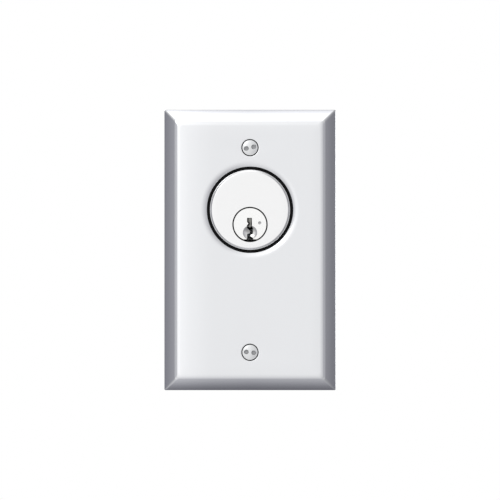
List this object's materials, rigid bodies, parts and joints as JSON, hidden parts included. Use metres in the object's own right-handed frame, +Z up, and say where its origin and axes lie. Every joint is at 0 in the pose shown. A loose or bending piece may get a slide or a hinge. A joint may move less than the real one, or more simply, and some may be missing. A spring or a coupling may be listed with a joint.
{
  "type": "selector key switch",
  "caption": "Flush wall key switch: bevelled stainless plate with a mortise lock cylinder whose sprung plug and cam work a roller-lever snap switch on a bracket behind.",
  "frame": {"origin": "on the wall plane, midway between the two box screws", "axes": "+X to the right seen from the front, +Y back into the wall along the box screws, +Z up along the plate's height"},
  "size_m": [0.0698, 0.0432, 0.1142],
  "materials": {
    "satin_stainless": "satin brushed stainless steel",
    "satin_chrome": "satin chrome plated brass",
    "zinc_steel": "bright zinc plated steel",
    "brass": "drawn brass",
    "nickel_silver": "turned nickel silver",
    "spring_steel": "drawn spring steel",
    "seal_rubber": "matt black rubber",
    "phenolic_case": "moulded black phenolic",
    "cover_plastic": "moulded grey thermoplastic",
    "plunger_plastic": "moulded red thermoplastic",
    "fish_paper": "pressed grey fish paper",
    "green_steel": "green coated steel",
    "terminal_brass": "tinned spring brass"
  },
  "bodies": {
    "root": {"faceplate": "satin_stainless", "faceplate_screws": "satin_stainless", "weld_studs": "zinc_steel", "stud_washers": "zinc_steel", "stud_nuts": "zinc_steel", "mounting_bracket": "zinc_steel", "cylinder_seal": "seal_rubber", "cylinder_shell": "satin_chrome", "ring_washer": "zinc_steel", "ring_nut": "brass", "driver_spring_1": "spring_steel", "driver_spring_2": "spring_steel", "driver_spring_3": "spring_steel", "driver_spring_4": "spring_steel", "driver_spring_5": "spring_steel", "chamber_cap_1": "brass", "chamber_cap_2": "brass", "chamber_cap_3": "brass", "chamber_cap_4": "brass", "chamber_cap_5": "brass", "stop_pin": "spring_steel", "return_spring": "spring_steel", "spring_post": "zinc_steel", "switch_case": "phenolic_case", "switch_cover": "cover_plastic", "insulator_sheet": "fish_paper", "switch_screws": "zinc_steel", "switch_nuts": "zinc_steel", "common_terminal": "terminal_brass", "normally_open_terminal": "terminal_brass", "normally_closed_terminal": "terminal_brass", "lever_hinge_pin": "spring_steel", "ground_screw": "green_steel"},
    "plug": {"cylinder_plug": "satin_chrome", "cam": "zinc_steel", "cam_screws": "zinc_steel", "spring_retainer": "zinc_steel"},
    "key_pin_body_1": {"key_pin_1": "nickel_silver"},
    "key_pin_body_2": {"key_pin_2": "nickel_silver"},
    "key_pin_body_3": {"key_pin_3": "nickel_silver"},
    "key_pin_body_4": {"key_pin_4": "nickel_silver"},
    "key_pin_body_5": {"key_pin_5": "nickel_silver"},
    "driver_pin_body_1": {"driver_pin_1": "nickel_silver"},
    "driver_pin_body_2": {"driver_pin_2": "nickel_silver"},
    "driver_pin_body_3": {"driver_pin_3": "nickel_silver"},
    "driver_pin_body_4": {"driver_pin_4": "nickel_silver"},
    "driver_pin_body_5": {"driver_pin_5": "nickel_silver"},
    "lever": {"switch_lever": "spring_steel", "roller_pin": "spring_steel"},
    "roller": {"lever_roller": "nickel_silver"},
    "plunger": {"switch_plunger": "plunger_plastic"},
    "blade": {"contact_blade": "terminal_brass"}
  },
  "joints": [
    {"name": "plug_turn", "type": "hinge", "parent": "root", "child": "plug", "pos_m": [0, 0, 0.0104], "axis": [0, 1, 0], "range_deg": [0, 90], "stiffness_Nm_per_rad": 0.03, "springref_deg": -28.65, "deforming": ["return_spring"]},
    {"name": "key_pin_lift_1", "type": "slide", "parent": "plug", "child": "key_pin_body_1", "axis": [0, 0, 1], "range_m": [0, 0.0011]},
    {"name": "key_pin_lift_2", "type": "slide", "parent": "plug", "child": "key_pin_body_2", "axis": [0, 0, 1], "range_m": [0, 0.0022]},
    {"name": "key_pin_lift_3", "type": "slide", "parent": "plug", "child": "key_pin_body_3", "axis": [0, 0, 1], "range_m": [0, 0.0008]},
    {"name": "key_pin_lift_4", "type": "slide", "parent": "plug", "child": "key_pin_body_4", "axis": [0, 0, 1], "range_m": [0, 0.0018]},
    {"name": "key_pin_lift_5", "type": "slide", "parent": "plug", "child": "key_pin_body_5", "axis": [0, 0, 1], "range_m": [0, 0.0014]},
    {"name": "driver_pin_lift_1", "type": "slide", "parent": "root", "child": "driver_pin_body_1", "axis": [0, 0, 1], "range_m": [0, 0.0013], "stiffness_N_per_m": 100, "springref_m": -0.004, "deforming": ["driver_spring_1"]},
    {"name": "driver_pin_lift_2", "type": "slide", "parent": "root", "child": "driver_pin_body_2", "axis": [0, 0, 1], "range_m": [0, 0.0013], "stiffness_N_per_m": 100, "springref_m": -0.004, "deforming": ["driver_spring_2"]},
    {"name": "driver_pin_lift_3", "type": "slide", "parent": "root", "child": "driver_pin_body_3", "axis": [0, 0, 1], "range_m": [0, 0.0013], "stiffness_N_per_m": 100, "springref_m": -0.004, "deforming": ["driver_spring_3"]},
    {"name": "driver_pin_lift_4", "type": "slide", "parent": "root", "child": "driver_pin_body_4", "axis": [0, 0, 1], "range_m": [0, 0.0013], "stiffness_N_per_m": 100, "springref_m": -0.004, "deforming": ["driver_spring_4"]},
    {"name": "driver_pin_lift_5", "type": "slide", "parent": "root", "child": "driver_pin_body_5", "axis": [0, 0, 1], "range_m": [0, 0.0013], "stiffness_N_per_m": 100, "springref_m": -0.004, "deforming": ["driver_spring_5"]},
    {"name": "lever_swing", "type": "hinge", "parent": "root", "child": "lever", "pos_m": [0.0165, 0.0285, -0.0072], "axis": [0, 1, 0], "range_deg": [-12, 0]},
    {"name": "roller_spin", "type": "hinge", "parent": "lever", "child": "roller", "pos_m": [0, 0.0285, -0.0011], "axis": [0, 1, 0], "continuous": true},
    {"name": "plunger_press", "type": "slide", "parent": "root", "child": "plunger", "axis": [0, 0, 1], "range_m": [-0.00127, 0]},
    {"name": "blade_swing", "type": "hinge", "parent": "root", "child": "blade", "pos_m": [0.0122, 0.0285, -0.01615], "axis": [0, 1, 0], "range_deg": [-4.3, 0]}
  ],
  "couplings": [
    {"joint": "lever_swing", "follows": "plug_turn", "ratio": -0.13333},
    {"joint": "plunger_press", "follows": "plug_turn", "m_per_rad": -0.00080843},
    {"joint": "blade_swing", "follows": "plug_turn", "ratio": -0.047778}
  ]
}
